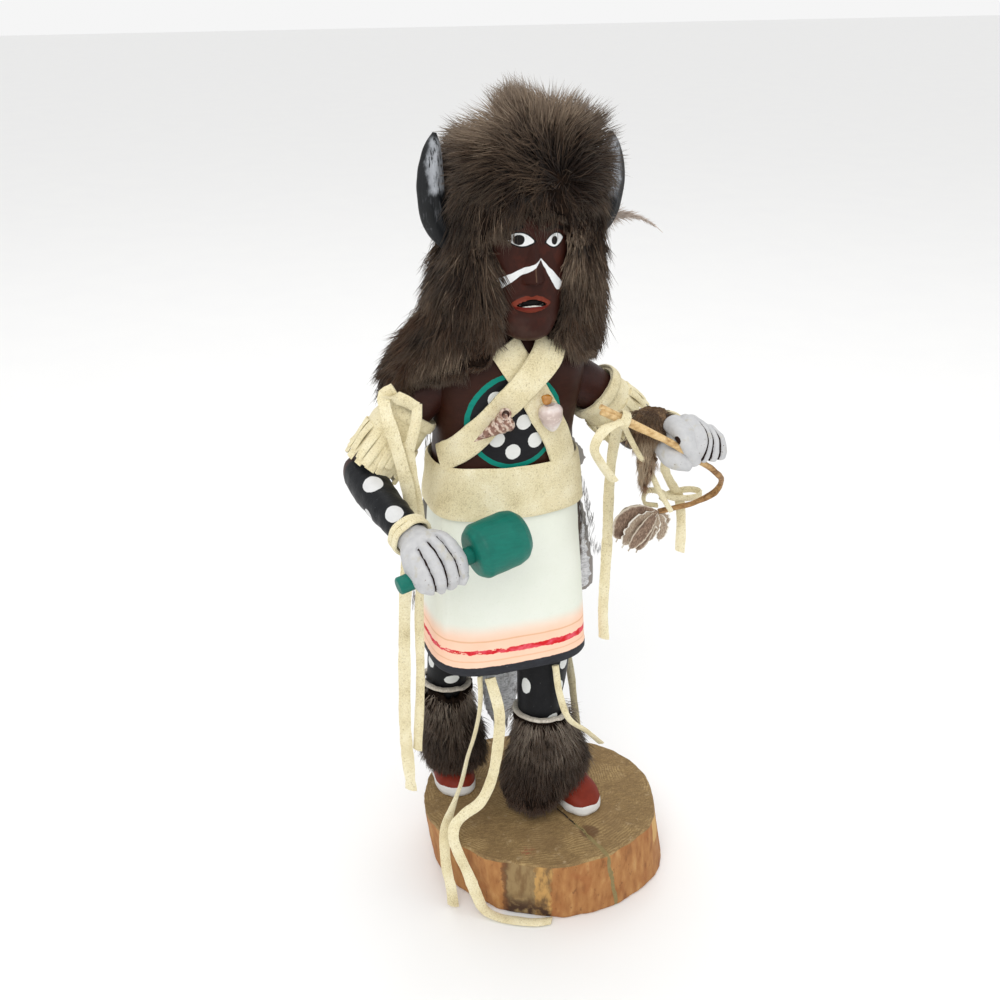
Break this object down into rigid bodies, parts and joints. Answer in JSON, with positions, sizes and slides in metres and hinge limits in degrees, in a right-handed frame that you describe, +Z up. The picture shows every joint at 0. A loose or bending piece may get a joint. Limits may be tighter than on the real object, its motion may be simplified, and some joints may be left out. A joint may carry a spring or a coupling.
{
  "type": "kachina doll",
  "caption": "Carved and painted standing kachina doll with fur hood, horns, rattle, bow and suede trimmings, on a slice of branch wood.",
  "frame": {"origin": "on the flat underside of the wood-slice base, straight below the figure's trunk", "axes": "+Z up, the figure faces -Y, +X to its left"},
  "size_m": [0.1425, 0.1009, 0.3314],
  "materials": {
    "base_wood": "bare sawn and whittled branch wood, dry",
    "carved_body": "carved wood, painted: white kilt with peach, red and black hem, dark brown chest, black legs, red-brown moccasins",
    "face_paint": "carved wood, dark brown satin paint",
    "horn_paint": "carved wood, black paint brushed over with silver grey",
    "rattle_paint": "turned wood, teal satin paint",
    "bow_wood": "thin bare stick",
    "arm_paint": "carved wood, dark brown upper arm, black forearm with white dots, pale grey hand",
    "suede": "undyed suede",
    "brown_shell": "natural banded sea shell",
    "pale_shell": "natural pale sea shell",
    "dark_fur": "long soft fur, dark brown with paler tips",
    "grey_fur": "silver-grey fur pelt with dark streaks",
    "tan_fur": "tan fur with dark tips",
    "feather": "small grey-brown downy feathers"
  },
  "bodies": {
    "root": {"base": "base_wood", "body": "carved_body", "head": "face_paint", "right_horn": "horn_paint", "left_horn": "horn_paint", "rattle": "rattle_paint", "bow": "bow_wood", "right_arm": "arm_paint", "left_arm": "arm_paint", "waist_sash": "suede", "chest_strap_under": "suede", "chest_strap_over": "suede", "right_arm_band": "suede", "right_wrist_band": "suede", "left_arm_band": "suede", "left_wrist_band": "suede", "bow_tie": "suede", "lace_a": "suede", "lace_b": "suede", "lace_c": "suede", "lace_d": "suede", "lace_e": "suede", "lace_f": "suede", "lace_g": "suede", "lace_h": "suede", "tie_tail": "suede", "bow_string": "suede", "bow_loops": "suede", "cone_shell": "brown_shell", "pale_shell": "pale_shell", "right_ankle_fur": "dark_fur", "left_ankle_fur": "dark_fur", "fur_hood": "dark_fur", "back_pelt": "grey_fur", "arm_fur_tuft": "tan_fur", "hair_feather": "feather", "bow_feathers": "feather"}
  },
  "joints": []
}
